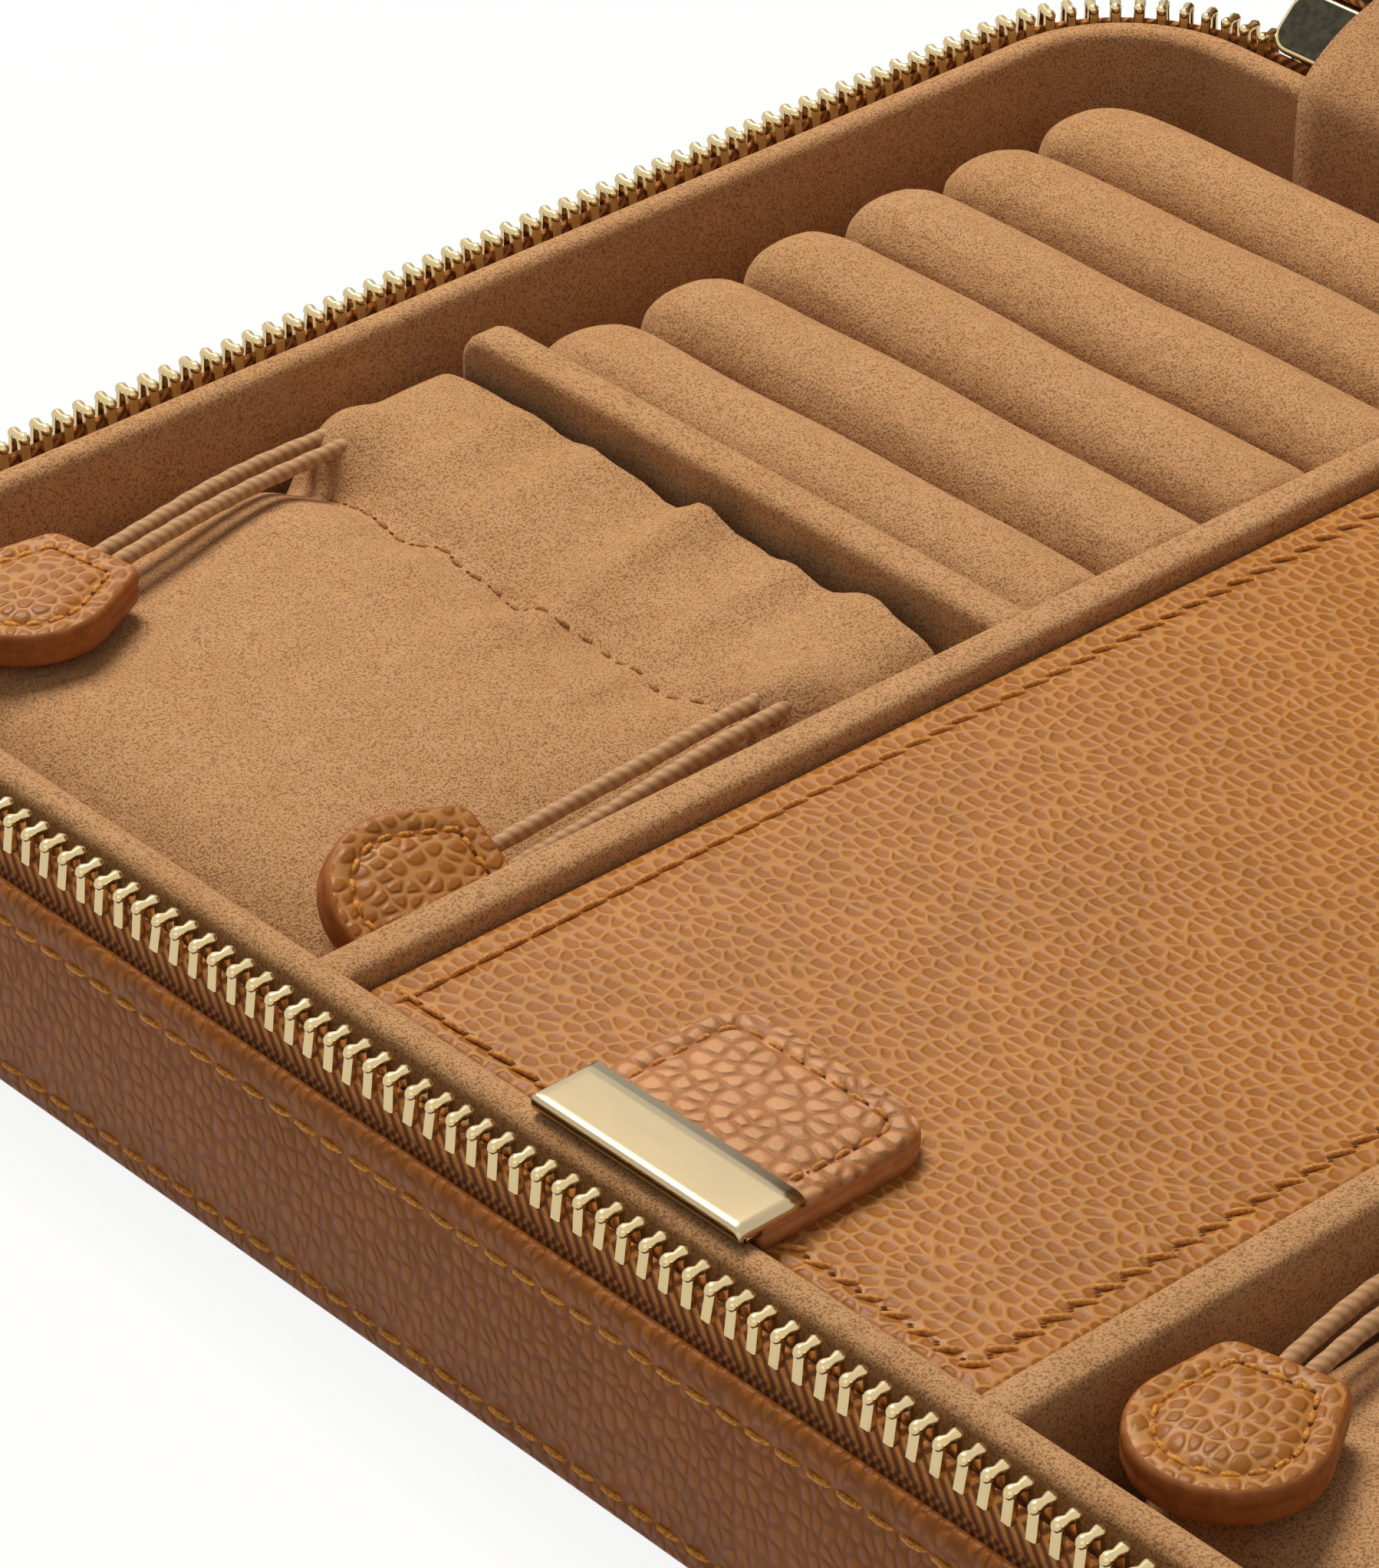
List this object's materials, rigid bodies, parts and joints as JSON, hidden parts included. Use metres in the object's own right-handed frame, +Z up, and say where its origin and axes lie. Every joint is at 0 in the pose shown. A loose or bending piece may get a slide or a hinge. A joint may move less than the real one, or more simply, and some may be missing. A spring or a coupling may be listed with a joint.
{
  "type": "jewellery case",
  "caption": "Zip-round leather travel jewellery case, open, with a suede tray of ring rolls and lanes, a hinged inner lid with a pull tab, and drawstring pouches.",
  "frame": {"origin": "centre of the underside of the base's bottom panel", "axes": "+X along the front edge to the right, +Y from the front edge to the spine, +Z up"},
  "size_m": [0.252, 0.2403, 0.2103],
  "materials": {
    "case_leather": "pebbled brown",
    "lid_leather": "grained tan",
    "suede": "tan suede",
    "zip_tape": "woven brown",
    "zip_metal": "polished",
    "plate_metal": "polished",
    "board": "raw board",
    "foam": "suede over foam",
    "cord": "waxed cord"
  },
  "bodies": {
    "base": {"base_panel": "case_leather", "base_side_wall": "case_leather", "base_stiffener": "board", "base_spine": "case_leather", "base_zip_tape": "zip_tape", "base_zip_chain": "zip_metal", "zip_end_stop": "zip_metal", "zip_slider": "zip_metal", "tray_floor": "suede", "tray_wall": "suede", "divider_left": "suede", "divider_right": "suede", "cross_divider_right": "suede", "ring_bar": "suede", "ring_bed": "foam", "ring_roll_1": "suede", "ring_roll_2": "suede", "ring_roll_3": "suede", "ring_roll_4": "suede", "ring_roll_5": "suede", "ring_roll_6": "suede", "lid_ledge": "suede", "inner_lid_hinge": "suede", "hinge_lining": "suede"},
    "lid": {"lid_panel": "case_leather", "lid_side_wall": "case_leather", "lid_stiffener": "board", "lid_spine": "case_leather", "lid_zip_tape": "zip_tape", "lid_zip_chain": "zip_metal", "lid_lining_wall": "suede", "lid_lining_board": "suede"},
    "inner_lid": {"inner_lid_board": "board", "inner_lid_leather": "lid_leather", "inner_lid_tab": "lid_leather", "inner_lid_plate": "plate_metal"},
    "pouch_1": {"pouch_1_bag": "suede", "pouch_1_cord_left_inner": "cord", "pouch_1_cord_left_outer": "cord", "pouch_1_cord_right_inner": "cord", "pouch_1_cord_right_outer": "cord", "pouch_1_pull_left": "lid_leather", "pouch_1_pull_right": "lid_leather"},
    "pouch_2": {"pouch_2_bag": "suede", "pouch_2_cord_left_inner": "cord", "pouch_2_cord_left_outer": "cord", "pouch_2_cord_right_inner": "cord", "pouch_2_cord_right_outer": "cord", "pouch_2_pull_left": "lid_leather", "pouch_2_pull_right": "lid_leather"},
    "puller": {"zip_puller": "zip_metal"}
  },
  "joints": [
    {"name": "lid_hinge", "type": "hinge", "parent": "base", "child": "lid", "pos_m": [0, 0.094, 0.0262], "axis": [-1, 0, 0], "range_deg": [-100, 0], "deforming": ["hinge_lining"]},
    {"name": "inner_lid_hinge_line", "type": "hinge", "parent": "base", "child": "inner_lid", "pos_m": [0, 0.0829, 0.0239], "axis": [-1, 0, 0], "range_deg": [0, 95]},
    {"name": "pouch_1_lift", "type": "slide", "parent": "base", "child": "pouch_1", "axis": [0, 0, 1], "range_m": [0, 0.06]},
    {"name": "pouch_2_lift", "type": "slide", "parent": "base", "child": "pouch_2", "axis": [0, 0, 1], "range_m": [0, 0.06]},
    {"name": "puller_swing", "type": "hinge", "parent": "base", "child": "puller", "pos_m": [-0.0967, 0.09629, 0.02316], "axis": [1, 0, 0], "range_deg": [0, 60]}
  ]
}
